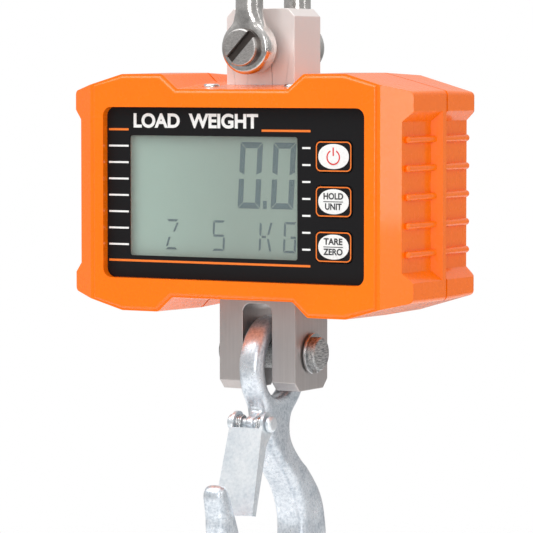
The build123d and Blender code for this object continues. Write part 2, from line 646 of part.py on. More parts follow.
def make_latch():
    """Pressed channel latch about its own pivot at the origin, closed: plate, side flanges and ears."""
    front, top, bottom = LATCH_FRONT, LATCH_TOP, -LATCH_LENGTH
    plate = [(-LATCH_HALF_TOP, top), (LATCH_HALF_TOP, top), (LATCH_HALF_BOTTOM, bottom),
             (-LATCH_HALF_BOTTOM, bottom - LATCH_SHEET)]
    face = extrude(Plane.XZ * make_face(Polyline(plate, close=True)), LATCH_SHEET)
    latch = Pos(0, front + LATCH_SHEET, 0) * face
    deep = front + LATCH_FLANGE + LATCH_SHEET
    wall = [(front, top - 1), (0.5, -9.0), (deep, -14), (front + LATCH_SHEET + 1.6, bottom), (front, bottom)]
    ear_web = [(front, top - 3.5), (-4.3, -1.6), (4.3, -1.6), (0.5, -9.0)]
    outline = Circle(LATCH_EAR)
    for corners in (wall, ear_web):
        outline += make_face(Polyline(corners, close=True))
    lean = degrees(atan2(LATCH_HALF_BOTTOM - LATCH_HALF_TOP, LATCH_LENGTH + LATCH_TOP))
    for side in (-1, 1):
        cheek = extrude(Plane.YZ * outline, LATCH_SHEET / 2, both=True)
        latch += Pos(side * (LATCH_HALF_TOP - 0.1), 0, 0) * Rot(0, -side * lean, 0) * cheek
    return latch - rod_x(LATCH_PIN_RADIUS + PIN_RUNNING, (-12, 12), 0, 0)


def make_latch_pin():
    """Latch rivet through the ears and the lug, with a head at each end."""
    pin = rod_x(LATCH_PIN_RADIUS, (-RIVET_HALF, RIVET_HALF), 0, 0)
    radius, height = RIVET_HEAD
    start = RIVET_HALF - 0.5
    for side in (-1, 1):
        head = rod_x(radius, sorted((side * start, side * (start + height))), 0, 0)
        outside = head.faces().sort_by(Axis.X)[-1 if side > 0 else 0]
        pin += fillet(outside.edges(), 1.2)
    return pin


def make_latch_spring():
    """Torsion spring as two plain sleeves, one each side of the lug, with a leg behind the latch plate."""
    sleeves = []
    leg_x = sum(SLEEVE_X) / 2
    for side in (-1, 1):
        x = sorted((side * SLEEVE_X[0], side * SLEEVE_X[1]))
        sleeve = rod_x(SLEEVE_RADIUS, x, 0, 0) - rod_x(LATCH_PIN_RADIUS + 0.15, x, 0, 0)
        sleeves.append(sleeve + rod_z(0.5, side * leg_x, -2.6, (-16, 0)))
    return Compound(sleeves)


def hang(shape):
    """Swing a hook part about the hook pin, from its own frame into the case's frame."""
    return Pos(0, 0, HOOK_PIN_Z) * Rot(HOOK_SWING, 0, 0) * shape


def on_pivot(shape):
    """Place a latch part on the hook's lug, closed."""
    return Pos(0, *LATCH_PIVOT) * Rot(-LATCH_LEAN, 0, 0) * shape


# ---------------------------------------------------------------- battery compartment

def door_plate(grow, y):
    """The battery door's outline, larger by grow on every side."""
    width = DOOR[1] - DOOR[0] + 2 * grow
    return plate_y(width, 2 * (DOOR[2] + grow), 3.0, (DOOR[0] + DOOR[1]) / 2, 0, y)


def make_battery_door():
    """Battery door that lies flush in the back shell."""
    door = door_plate(0, (BACK_Y - DOOR_THICKNESS, BACK_Y))
    for x, z in DOOR_SCREWS:
        door -= rod_y(DOOR_SCREW["clear"], x, (BACK_Y - 5, BACK_Y + PAST), z)
        door -= rod_y(DOOR_SCREW["seat"], x, (BACK_Y - 0.9, BACK_Y + PAST), z)
    for step in range(-3, 4):
        door -= block((-62, -52), (BACK_Y - 0.6, BACK_Y + PAST), (step * 3 - 0.6, step * 3 + 0.6))
    return door


def make_door_screws():
    """Two captive screws of the battery door."""
    screws = []
    for x, z in DOOR_SCREWS:
        head = rod_y(DOOR_SCREW["head"], x, (BACK_Y - 0.9, BACK_Y + 0.4), z)
        head -= block((x - 3, x + 3), (BACK_Y - 0.3, BACK_Y + PAST), (z - 0.4, z + 0.4))
        screws.append(head + rod_y(DOOR_SCREW["shank"], x, (BACK_Y - 6, BACK_Y - 0.9), z))
    return Compound(screws)


BOX_X = (CELL_X - 1.5 * CELL_PITCH - 1.0, CELL_X + 1.5 * CELL_PITCH + 1.0)
BOX_Y = (CELL_Y - CELL_RADIUS - 1.8, BACK_WALL_Y)
BOX_HALF_HEIGHT = CELL_LENGTH / 2 + 2.7


def make_battery_box():
    """Open tray for three cells, with low dividers."""
    box = block(BOX_X, BOX_Y, (-BOX_HALF_HEIGHT, BOX_HALF_HEIGHT))
    room_z = BOX_HALF_HEIGHT - BOX_WALL
    box -= block((BOX_X[0] + 0.9, BOX_X[1] - 0.9), (BOX_Y[0] + BOX_WALL, 30), (-room_z, room_z))
    for step in (-0.5, 0.5):
        x = CELL_X + step * CELL_PITCH
        box += block((x - 0.6, x + 0.6), (BOX_Y[0], BOX_Y[0] + 3.2), (-20, 20))
    return box


def make_battery_cells():
    """Three AA cells, each with its raised end."""
    cells = []
    for step in (-1, 0, 1):
        x = CELL_X + step * CELL_PITCH
        up = 1 if step else -1
        body = rod_z(CELL_RADIUS, x, CELL_Y, (-CELL_LENGTH / 2, CELL_LENGTH / 2 - 1.0))
        body = fillet(body.edges(), 0.5)
        body += rod_z(2.75, x, CELL_Y, (0, CELL_LENGTH / 2))
        cells.append(body if up > 0 else mirror(body, Plane.XY))
    return Compound(cells)


def make_battery_contacts():
    """Six contact plates, one at each end of each cell."""
    plates = []
    for step in (-1, 0, 1):
        x = CELL_X + step * CELL_PITCH
        for end in (-1, 1):
            z = sorted((end * (CELL_LENGTH / 2 + CONTACT_GAP), end * (BOX_HALF_HEIGHT - BOX_WALL)))
            plates.append(block((x - 5, x + 5), (CELL_Y - 5, CELL_Y + 5), z))
    return Compound(plates)


# ---------------------------------------------------------------- wires

def wire(points, radius, bend):
    """A wire of straight runs joined by equal bends."""
    path = FilletPolyline(*points, radius=bend)
    start = Plane(path.position_at(0), z_dir=path.tangent_at(0))
    return sweep(start * Circle(radius), path)


def make_cell_wires():
    """Shielded wire from the gauges to the board."""
    socket_y = BOARD_Y + BOARD + SOCKET_HEIGHT
    start = (LUG[0] / 2 + 0.4, 0, 0)
    route = [start, (22, 0, 0), (30, -3, -14), (33, socket_y + 5, -21.5), (33, socket_y, -21.5)]
    return wire(route, 1.1, 2.4)


def make_battery_wires():
    """Two wires from the battery box to the board."""
    socket_y = BOARD_Y + BOARD + SOCKET_HEIGHT
    wires = []
    for shift in (-2.0, 2.0):
        x = -35 + shift
        route = [(x, BOX_Y[0], -12), (x, BOX_Y[0] - 4, -12), (x, socket_y + 5, -21.5), (x, socket_y, -21.5)]
        wires.append(wire(route, 0.8, 1.8))
    return Compound(wires)


# ---------------------------------------------------------------- build and write

hook = make_hook()
hook_centre = hook.center(CenterOf.MASS)
# The freely hanging hook settles with its mass centre straight below the pin.
HOOK_SWING = degrees(atan2(-hook_centre.Y, -hook_centre.Z))
print("hook swing", round(HOOK_SWING, 2), "degrees")

write("shackle_bow", make_shackle_bow())
write("shackle_pin", make_shackle_pin())
write("front_shell", make_front_shell())
write("back_shell", make_back_shell())
write("case_gasket", make_case_gasket())
write("front_overlay", make_front_overlay())
write("display_window", make_display_window())
write("lcd_glass", make_lcd_glass())
write("lcd_backlight", make_lcd_backlight())
write("lcd_connector", make_lcd_connector())
write("main_board", make_main_board())
write("board_screws", make_board_screws())
write("board_parts", make_board_parts())
write("key_switches", make_key_switches())
for key, height in KEY_Z.items():
    write(key, make_key(height))
write("load_cell", make_load_cell())
write("strain_gauges", make_strain_gauges())
write("upper_bracket", make_upper_bracket())
write("upper_seal", make_seal(LUG, (CHANNEL_INSIDE, SEAL_TOP)))
write("lower_seal", make_seal(FORK, (-SEAL_TOP, -CHANNEL_INSIDE)))
write("top_screws", make_top_screws())
write("case_screws", make_case_screws())
write("hook_pin", make_hook_pin())
write("pin_rings", make_pin_rings())
write("battery_box", make_battery_box())
write("battery_cells", make_battery_cells())
write("battery_contacts", make_battery_contacts())
write("battery_door", make_battery_door())
write("door_screws", make_door_screws())
write("cell_wires", make_cell_wires())
write("battery_wires", make_battery_wires())
write("hook", hang(hook))
write("latch_pin", hang(Pos(0, *LATCH_PIVOT) * make_latch_pin()))
write("latch", hang(on_pivot(make_latch())))
write("latch_spring", hang(on_pivot(make_latch_spring())))
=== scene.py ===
import json
import math

import bpy
from mathutils import Matrix, Vector


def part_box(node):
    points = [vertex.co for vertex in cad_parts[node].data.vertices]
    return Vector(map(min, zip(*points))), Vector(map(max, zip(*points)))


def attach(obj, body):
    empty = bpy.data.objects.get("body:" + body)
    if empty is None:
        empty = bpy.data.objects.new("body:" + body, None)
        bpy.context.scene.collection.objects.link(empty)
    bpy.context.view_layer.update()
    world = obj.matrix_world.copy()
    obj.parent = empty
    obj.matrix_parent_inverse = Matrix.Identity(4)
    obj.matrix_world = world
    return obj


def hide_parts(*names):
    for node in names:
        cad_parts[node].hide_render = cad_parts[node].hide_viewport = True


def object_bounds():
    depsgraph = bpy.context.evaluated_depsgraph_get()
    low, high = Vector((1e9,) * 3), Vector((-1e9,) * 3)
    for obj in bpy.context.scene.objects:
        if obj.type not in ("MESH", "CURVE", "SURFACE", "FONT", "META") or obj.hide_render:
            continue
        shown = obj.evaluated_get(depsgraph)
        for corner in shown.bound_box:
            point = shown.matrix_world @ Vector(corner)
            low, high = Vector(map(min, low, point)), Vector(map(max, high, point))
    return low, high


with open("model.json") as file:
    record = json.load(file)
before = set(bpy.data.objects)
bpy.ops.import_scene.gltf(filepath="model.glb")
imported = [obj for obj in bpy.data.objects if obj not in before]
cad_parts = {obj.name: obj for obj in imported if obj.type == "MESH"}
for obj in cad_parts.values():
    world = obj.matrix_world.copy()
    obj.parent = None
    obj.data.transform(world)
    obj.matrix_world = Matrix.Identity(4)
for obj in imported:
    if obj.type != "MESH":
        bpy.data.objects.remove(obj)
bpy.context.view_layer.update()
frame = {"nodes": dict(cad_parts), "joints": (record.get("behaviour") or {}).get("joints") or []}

nodes = frame["nodes"]
joints = {joint["name"]: joint for joint in frame["joints"]}
mm = 0.001
scene = bpy.context.scene
scene.view_settings.view_transform = "Standard"


# Shader building: a Socket is one output, and sums and products of Sockets add Math nodes.
class Socket:
    def __init__(self, tree, output):
        self.tree = tree
        self.output = output

    def node(self, kind, settings=None, values=None, output=0):
        made = self.tree.nodes.new(kind)
        for name, value in (settings or {}).items():
            if name == "stops":
                ramp = made.color_ramp.elements
                while len(ramp) < len(value):
                    ramp.new(0.5)
                for stop, (place, colour) in zip(ramp, value):
                    stop.position = place
                    stop.color = (*colour, 1) if len(colour) == 3 else colour
            else:
                setattr(made, name, value)
        for name, value in (values or {}).items():
            if isinstance(value, Socket):
                self.tree.links.new(value.output, made.inputs[name])
            else:
                made.inputs[name].default_value = value
        return Socket(self.tree, made.outputs[output])

    def maths(self, operation, first, second=0.0):
        return self.node("ShaderNodeMath", {"operation": operation}, {0: first, 1: second})

    def __add__(self, other):
        return self.maths("ADD", self, other)

    def __sub__(self, other):
        return self.maths("SUBTRACT", self, other)

    def __mul__(self, other):
        return self.maths("MULTIPLY", self, other)

    def __rsub__(self, other):
        return self.maths("SUBTRACT", other, self)

    __radd__ = __add__
    __rmul__ = __mul__

    def spread(self, low, high):  # 0 below low, 1 above high
        return self.node("ShaderNodeMapRange", {"clamp": True}, {0: self, 1: low, 2: high})

    def mix(self, first, second):  # this socket is the factor between two colours
        colours = {0: self, 6: first, 7: second}
        return self.node("ShaderNodeMix", {"data_type": "RGBA"}, colours, 2)


def colour(red, green, blue):  # from 0-255 display values to a linear colour
    linear = [((v / 255 + 0.055) / 1.055) ** 2.4 if v > 10 else v / 255 / 12.92 for v in (red, green, blue)]
    return (*linear, 1.0)


def material(name, fixed, surface):
    made = bpy.data.materials.new(name)
    made.use_nodes = True
    tree = made.node_tree
    shader = tree.nodes["Principled BSDF"]
    for key, value in fixed.items():
        shader.inputs[key].default_value = value
    place = Socket(tree, tree.nodes.new("ShaderNodeTexCoord").outputs["Object"])
    for key, value in surface(place).items():
        if key == "Bump":
            height, strength, distance = value
            bump = {"Height": height, "Strength": strength, "Distance": distance}
            key, value = "Normal", place.node("ShaderNodeBump", None, bump)
        if isinstance(value, Socket):
            tree.links.new(value.output, shader.inputs[key])
        else:
            shader.inputs[key].default_value = value
    return made


def noise(place, scale, detail=3.0, roughness=0.55):
    return place.node("ShaderNodeTexNoise", None,
                      {"Vector": place, "Scale": scale, "Detail": detail, "Roughness": roughness})


def stretched(place, x, y, z):
    return place.node("ShaderNodeVectorMath", {"operation": "MULTIPLY"}, {0: place, 1: (x, y, z)})


orangeLook = {"base": colour(255, 119, 4), "shade": colour(252, 112, 2), "peel": 900.0, "gloss": 0.22}


def orangeSurface(place):  # sprayed gloss orange over moulded plastic
    cloud = noise(place, 14.0)
    peel = noise(place, orangeLook["peel"], 1.0)
    grain = noise(place, 260.0, 4.0)
    return {"Base Color": cloud.spread(0.35, 0.7).mix(orangeLook["base"], orangeLook["shade"]),
            "Roughness": orangeLook["gloss"] + 0.10 * grain,
            "Bump": (peel + 0.4 * grain, 0.05, 0.0003)}


def plainSurface(tint, dark, rough, scale, depth):  # moulded or printed colour with a fine grain
    def surface(place):
        grain = noise(place, scale, 4.0)
        return {"Base Color": grain.spread(0.3, 0.75).mix(tint, dark),
                "Roughness": rough - 0.05 + 0.10 * grain,
                "Bump": (grain, 0.12, depth)}
    return surface


# The bar's lug above the case is half as metallic, a finely ground face that scatters light, and is painted
# lighter as painted light; its milled fork below the case is painted greyer as painted shade under the case.
barLook = {"lug": colour(244, 236, 233), "fork": colour(205, 199, 197), "lines": colour(176, 171, 169),
           "between": (-0.12, -0.08), "rough": 0.45, "grain": (1.0, 1.0, 0.04)}


def barSurface():
    def surface(place):
        lines = noise(stretched(place, *barLook["grain"]), 900.0, 3.0)
        cloud = noise(place, 60.0)
        height = place.node("ShaderNodeSeparateXYZ", None, {0: place}, 2)
        above = height.spread(*barLook["between"])
        # painted light and shade: the lug above the case is coloured lighter, the fork below it darker in the
        # case's shade
        tint = above.mix(barLook["fork"], barLook["lug"])
        worn = (0.6 * lines + 0.4 * cloud).spread(0.0, 1.0)
        return {"Base Color": worn.mix(tint, above.mix(barLook["lines"], barLook["lug"])),
                "Metallic": 1 - 0.5 * above,
                "Roughness": barLook["rough"] + 0.16 * (lines - 0.5),
                "Bump": (lines, 0.25, 0.00006)}
    return surface


def castSurface(tint, dark, rough, scale):  # polished casting with soft pits
    def surface(place):
        pits = noise(place, scale, 5.0)
        wave = noise(place, scale / 6, 2.0)
        return {"Base Color": (0.5 * pits + 0.5 * wave).spread(0.35, 0.65).mix(dark, tint),
                "Roughness": rough + 0.22 * (pits - 0.4),
                "Bump": (0.6 * pits + wave, 0.35, 0.0003)}
    return surface


def slottedHeadSurface(place):  # brushed steel, with painted shade: the slot's floor is coloured darker so that it reads
    brushed = noise(stretched(place, 1.0, 1.0, 3.0), 1300.0, 4.0, 0.7)
    depth = place.node("ShaderNodeSeparateXYZ", None, {0: place}, 1)
    # painted shade: this depth mask darkens the slot's floor, where shade falls in the slot
    slot = depth.spread(-0.0262, -0.0247)
    steel = brushed.spread(0.3, 0.7).mix(colour(150, 147, 145), colour(215, 212, 209))
    return {"Base Color": slot.mix(steel, colour(92, 86, 83)),
            "Roughness": 0.28 + 0.2 * brushed, "Bump": (brushed, 0.5, 0.00012)}


def zincSurface(place):  # zinc plated forging: bluish, mottled, with scale marks under the plating
    spots = noise(place, 900.0, 6.0, 0.72)
    clouds = noise(place, 120.0, 4.0)
    cell = {"Vector": place, "Scale": 520.0, "Randomness": 1.0}
    pits = place.node("ShaderNodeTexVoronoi", {"feature": "SMOOTH_F1"}, cell)
    mottle = (0.65 * spots + 0.35 * clouds).spread(0.36, 0.62)
    return {"Base Color": mottle.mix(colour(170, 181, 191), colour(240, 245, 250)),
            "Roughness": 0.40 - 0.14 * mottle,
            "Bump": (0.8 * spots + 0.3 * clouds + 0.3 * pits, 0.4, 0.00022)}


def sheetSurface(place):  # zinc plated pressed sheet, smoother than the forging
    spots = noise(place, 700.0, 5.0, 0.65)
    clouds = noise(place, 90.0, 3.0)
    mottle = (0.5 * spots + 0.5 * clouds).spread(0.34, 0.64)
    return {"Base Color": mottle.mix(colour(196, 205, 212), colour(240, 245, 248)),
            "Roughness": 0.48 - 0.12 * mottle,
            "Bump": (spots, 0.25, 0.00012)}


def displaySurface(place):  # reflective liquid crystal background, a little lighter towards one side
    across = place.node("ShaderNodeSeparateXYZ", None, {0: place}, 0)
    fade = across.spread(-0.05, 0.0)
    grain = noise(place, 1500.0, 1.0)
    return {"Base Color": fade.mix(colour(146, 169, 157), colour(123, 140, 129)),
            "Roughness": 0.30 + 0.08 * grain, "Bump": (grain, 0.03, 0.00005)}


def endGrainSurface(place):  # sawn and brushed end of a bar
    across = noise(stretched(place, 1.0, 0.25, 1.6), 1400.0, 4.0, 0.7)
    return {"Base Color": across.spread(0.35, 0.65).mix(colour(96, 98, 100), colour(214, 215, 214)),
            "Roughness": 0.30 + 0.25 * across, "Bump": (across, 0.7, 0.0003)}


def boardSurface(place):  # solder resist with copper tracks showing under it
    cell = {"Vector": stretched(place, 1.0, 0.0, 1.0), "Scale": 320.0}
    tracks = place.node("ShaderNodeTexVoronoi", {"feature": "F1", "distance": "CHEBYCHEV"}, cell)
    lines = tracks.spread(0.42, 0.46)
    return {"Base Color": lines.mix(colour(18, 92, 48), colour(40, 128, 70)),
            "Roughness": 0.42 + 0.1 * lines, "Bump": (lines, 0.3, 0.00004)}


metal = {"Metallic": 1.0}
orange = material("orangeGloss", {"Coat Weight": 0.35, "Coat Roughness": 0.05, "Specular IOR Level": 0.25},
                  orangeSurface)
blackFilm = material("blackFilm", {"Specular IOR Level": 0.2},
                     plainSurface(colour(14, 13, 15), colour(17, 16, 18), 0.55, 1600.0, 0.00002))
blackMoulded = material("blackMoulded", {},
                        plainSurface(colour(26, 26, 27), colour(34, 34, 35), 0.55, 900.0, 0.00008))
rubber = material("rubber", {}, plainSurface(colour(22, 22, 23), colour(32, 31, 31), 0.75, 700.0, 0.0001))
whiteInk = material("whiteInk", {},
                    plainSurface(colour(240, 240, 238), colour(226, 226, 224), 0.42, 1400.0, 0.00003))
orangeInk = material("orangeInk", {},
                     plainSurface(colour(242, 126, 40), colour(230, 112, 30), 0.42, 1400.0, 0.00003))
redInk = material("redInk", {}, plainSurface(colour(222, 44, 40), colour(205, 38, 35), 0.42, 1400.0, 0.00003))
darkInk = material("darkInk", {}, plainSurface(colour(30, 30, 34), colour(44, 44, 48), 0.45, 1400.0, 0.00003))
segmentInk = material("segmentInk", {},
                      plainSurface(colour(44, 70, 76), colour(52, 78, 83), 0.35, 900.0, 0.00003))
lcdFace = material("lcdFace", {}, displaySurface)
clearPane = material("clearPane", {"Alpha": 0.07, "IOR": 1.45},
                     plainSurface(colour(235, 242, 240), colour(228, 238, 235), 0.08, 500.0, 0.00001))
lightGuide = material("lightGuide", {},
                      plainSurface(colour(225, 230, 228), colour(210, 216, 214), 0.5, 600.0, 0.00005))
millVertical = material("millVertical", {}, barSurface())
stainless = material("stainless", metal,
                     castSurface(colour(226, 223, 220), colour(196, 193, 190), 0.16, 700.0))
zinc = material("zincForging", {"Metallic": 0.7}, zincSurface)
zincSheet = material("zincSheet", {"Metallic": 0.75}, sheetSurface)
brightSteel = material("brightSteel", metal,
                       castSurface(colour(222, 223, 224), colour(170, 171, 172), 0.16, 500.0))
slottedHead = material("slottedHead", metal, slottedHeadSurface)
pinEnd = material("pinEnd", metal, endGrainSurface)
greenBoard = material("greenBoard", {}, boardSurface)
copperFoil = material("copperFoil", {},
                      plainSurface(colour(196, 130, 60), colour(150, 96, 44), 0.4, 900.0, 0.00003))
cellSleeve = material("cellSleeve", {},
                      plainSurface(colour(38, 96, 60), colour(30, 80, 50), 0.35, 500.0, 0.00003))
greyWire = material("greyWire", {},
                    plainSurface(colour(110, 110, 112), colour(90, 90, 92), 0.5, 800.0, 0.00004))
redWire = material("redWire", {},
                   plainSurface(colour(168, 36, 30), colour(140, 30, 26), 0.45, 800.0, 0.00004))
print("materials made")

cadLooks = {
    orange: ["front_shell", "back_shell", "battery_door"],
    blackFilm: ["front_overlay", "power_key", "hold_key", "tare_key"],
    blackMoulded: ["board_parts", "key_switches", "battery_box"],
    rubber: ["case_gasket", "upper_seal", "lower_seal", "lcd_connector"],
    clearPane: ["display_window"],
    lcdFace: ["lcd_glass"],
    lightGuide: ["lcd_backlight"],
    greenBoard: ["main_board"],
    millVertical: ["load_cell", "upper_bracket"],
    stainless: ["shackle_bow"],
    slottedHead: ["shackle_pin"],
    brightSteel: ["board_screws", "top_screws", "case_screws", "pin_rings",
                  "battery_contacts", "door_screws", "latch_spring"],
    pinEnd: ["hook_pin"],
    zinc: ["hook"],
    zincSheet: ["latch", "latch_pin"],
    copperFoil: ["strain_gauges"],
    cellSleeve: ["battery_cells"],
    greyWire: ["cell_wires"],
    redWire: ["battery_wires"],
}
for look, names in cadLooks.items():
    for name in names:
        nodes[name].data.materials.clear()
        nodes[name].data.materials.append(look)

softEdges = {"front_shell": 0.7, "back_shell": 0.7, "battery_door": 0.3, "load_cell": 0.35, "latch": 0.3,
             "shackle_pin": 0.35, "hook_pin": 0.3, "pin_rings": 0.2, "front_overlay": 0.1, "power_key": 0.15,
             "hold_key": 0.15, "tare_key": 0.15, "top_screws": 0.15}


def softenEdges(piece, width):  # rounds the sharp edges of a machined or moulded part
    weld = piece.modifiers.new("weld", "WELD")
    weld.merge_threshold = 0.00001
    bevel = piece.modifiers.new("softEdges", "BEVEL")
    bevel.width = width * mm
    bevel.segments = 3
    bevel.limit_method = "ANGLE"
    bevel.angle_limit = math.radians(28)
    bevel.harden_normals = False
    normals = piece.modifiers.new("normals", "WEIGHTED_NORMAL")
    normals.keep_sharp = False
    for face in piece.data.polygons:
        face.use_smooth = True


for name, width in softEdges.items():
    softenEdges(nodes[name], width)
print("frame dressed")


def bake(piece):  # turns a curve, or a mesh with modifiers, into a plain mesh object of the same name
    bpy.context.view_layer.update()
    mesh = bpy.data.meshes.new_from_object(piece.evaluated_get(bpy.context.evaluated_depsgraph_get()))
    name = piece.name
    mesh.transform(piece.matrix_world)
    bpy.data.objects.remove(piece)
    made = bpy.data.objects.new(name, mesh)
    scene.collection.objects.link(made)
    return made


def finishPiece(piece, look, body):
    piece.data.materials.clear()
    piece.data.materials.append(look)
    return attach(piece, body)


# Forged parts: the frame's own shape, with its edges rolled over as a drop forging has them.
forgings = {
    "forgedHook": {"node": "hook", "body": "hook", "voxel": 0.75, "rounds": 100, "look": zinc,
                   "slot": "zinc_plate",
                   "dent": 0.2},
    "castBow": {"node": "shackle_bow", "body": "shackle", "voxel": 0.6, "rounds": 14, "look": stainless,
                "slot": "stainless", "dent": 0.12},
}


def forge(name, node, body, voxel, rounds, look, slot, dent):
    piece = bpy.data.objects.new(name, nodes[node].data.copy())
    scene.collection.objects.link(piece)
    remesh = piece.modifiers.new("grid", "REMESH")
    remesh.mode = "VOXEL"
    remesh.voxel_size = voxel * mm
    smooth = piece.modifiers.new("roll", "SMOOTH")
    smooth.factor = 0.5
    smooth.iterations = rounds
    marks = bpy.data.textures.new(name + "Marks", "CLOUDS")
    marks.noise_scale = 0.006
    press = piece.modifiers.new("marks", "DISPLACE")
    press.texture = marks
    press.texture_coords = "LOCAL"
    press.strength = dent * mm
    press.mid_level = 0.9
    piece = bake(piece)
    for face in piece.data.polygons:
        face.use_smooth = True
    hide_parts(node)
    return finishPiece(piece, look, body)


for name, facts in forgings.items():
    forge(name, **facts)
print("forgings made")


# Flat printed and etched shapes that face the front.
overlayLow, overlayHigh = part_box("front_overlay")
caseZ = (overlayLow.z + overlayHigh.z) / 2 + 0.2 * mm
panelY = overlayLow.y
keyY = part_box("power_key")[0].y
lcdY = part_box("lcd_glass")[0].y
ink = 0.05 * mm


def rectangle(left, right, low, high):
    return [(left, low), (right, low), (right, high), (left, high)]


def roundedRectangle(x, z, width, height, radius, steps=8):
    points = []
    for turn, (sideX, sideZ) in enumerate(((1, 1), (-1, 1), (-1, -1), (1, -1))):
        cx = x + sideX * (width / 2 - radius)
        cz = z + sideZ * (height / 2 - radius)
        for step in range(steps + 1):
            angle = math.pi / 2 * (turn + step / steps)
            points.append((cx + radius * math.cos(angle), cz + radius * math.sin(angle)))
    return points


def ellipse(x, z, width, height, power=1.0, steps=48):
    points = []
    for step in range(steps):
        angle = 2 * math.pi * step / steps
        c, s = math.cos(angle), math.sin(angle)
        points.append((x + width / 2 * math.copysign(abs(c) ** power, c),
                       z + height / 2 * math.copysign(abs(s) ** power, s)))
    return points


def standUp(piece, y):  # from the drawing plane to the panel, facing the front
    piece.matrix_world = Matrix.Translation((0, y, caseZ)) @ Matrix.Rotation(math.pi / 2, 4, "X")
    return bake(piece)


def printShape(name, loops, y, thick=ink, edge=0.0):
    drawing = bpy.data.curves.new(name, "CURVE")
    drawing.dimensions = "2D"
    drawing.fill_mode = "BOTH"
    drawing.extrude = thick / 2
    drawing.bevel_depth = edge
    for loop in loops:
        line = drawing.splines.new("POLY")
        line.points.add(len(loop) - 1)
        for point, (x, z) in zip(line.points, loop):
            point.co = (x * mm, z * mm, 0, 1)
        line.use_cyclic_u = True
    piece = bpy.data.objects.new(name, drawing)
    scene.collection.objects.link(piece)
    return standUp(piece, y - thick / 2 - edge)


def printWords(name, words, x, z, height, width, y, shear=0.0, weight=0.0):
    drawing = bpy.data.curves.new(name, "FONT")
    drawing.body = words
    drawing.align_x = "CENTER"
    drawing.align_y = "CENTER"
    drawing.size = height * 1.42 * mm
    drawing.shear = shear
    drawing.offset = weight * mm
    drawing.extrude = ink / 2
    piece = bpy.data.objects.new(name, drawing)
    scene.collection.objects.link(piece)
    bpy.context.view_layer.update()
    squeeze = width * mm / piece.dimensions.x
    lift = height * mm / piece.dimensions.y
    piece.matrix_world = (Matrix.Translation((x * mm, y - ink / 2, caseZ + z * mm))
                          @ Matrix.Rotation(math.pi / 2, 4, "X") @ Matrix.Diagonal((squeeze, lift, 1, 1)))
    return bake(piece)


panelPrint = {"leftTicks": (-57.0, -47.9), "rightTicks": (29.75, 33.3), "tickTop": 17.9, "tickPitch": 6.4,
              "tickHeight": 0.72, "lineHeight": 0.85, "title": "LOAD  WEIGHT", "titleX": -17.8,
              "titleZ": 27.5,
              "titleSize": (5.7, 56.0), "topLine": 24.3, "bottomLine": -26.75}


def printPanel():
    halfTick = panelPrint["tickHeight"] / 2
    half = panelPrint["lineHeight"] / 2
    left, right = panelPrint["leftTicks"], panelPrint["rightTicks"]
    ticks = []
    for step in range(7):
        z = panelPrint["tickTop"] - step * panelPrint["tickPitch"]
        ticks += [rectangle(*side, z - halfTick, z + halfTick) for side in (left, right)]
    finishPiece(printShape("panelTicks", ticks, panelY), whiteInk, "scale_body")
    top, bottom = panelPrint["topLine"], panelPrint["bottomLine"]
    lines = [rectangle(*left, top - half, top + half), rectangle(12.0, right[1], top - half, top + half),
             rectangle(left[0], right[1], bottom - half, bottom + half)]
    finishPiece(printShape("panelLines", lines, panelY), orangeInk, "scale_body")
    height, width = panelPrint["titleSize"]
    title = printWords("panelTitle", panelPrint["title"], panelPrint["titleX"], panelPrint["titleZ"], height,
                       width,
                       panelY, 0.0, 0.28)
    finishPiece(title, whiteInk, "scale_body")


keyFace = {"frame": (15.2, 11.3, 2.0), "line": 0.45, "dish": (13.1, 9.4), "dome": 0.25, "words": 2.45}


def dome(name, x, z, y):  # shallow oval button face
    rings, steps = 7, 56
    width, height = keyFace["dish"]
    vertices = [(x * mm, y - keyFace["dome"] * mm, caseZ + z * mm)]
    faces = []
    for ring in range(1, rings + 1):
        share = math.sin(math.pi / 2 * ring / rings)
        sink = keyFace["dome"] * mm * (1 - share ** 2.5)
        for px, pz in ellipse(x, z, width * share, height * share, 0.92, steps):
            vertices.append((px * mm, y - sink, caseZ + pz * mm))
    last = len(vertices)
    for px, pz in ellipse(x, z, width, height, 0.92, steps):
        vertices.append((px * mm, y + 0.1 * mm, caseZ + pz * mm))
    for step in range(steps):
        after = (step + 1) % steps
        faces.append((0, 1 + after, 1 + step))
        for ring in range(rings - 1):
            a, b = 1 + ring * steps, 1 + (ring + 1) * steps
            faces.append((a + step, a + after, b + after, b + step))
        edge = 1 + (rings - 1) * steps
        faces.append((edge + step, edge + after, last + after, last + step))
    faces.append(tuple(last + step for step in range(steps)))
    mesh = bpy.data.meshes.new(name)
    mesh.from_pydata(vertices, [], faces)
    mesh.validate()
    for face in mesh.polygons[:-1]:
        face.use_smooth = True
    piece = bpy.data.objects.new(name, mesh)
    scene.collection.objects.link(piece)
    return piece


def powerMark(x, z):  # open ring with a stroke in its gap
    outer, inner, gap = 2.9, 2.4, math.radians(28)
    turns = [math.pi / 2 + gap + (2 * math.pi - 2 * gap) * step / 40 for step in range(41)]
    ring = [(x + outer * math.cos(t), z - 0.3 + outer * math.sin(t)) for t in turns]
    ring += [(x + inner * math.cos(t), z - 0.3 + inner * math.sin(t)) for t in reversed(turns)]
    return [ring, rectangle(x - 0.28, x + 0.28, z + 0.2, z + 3.4)]


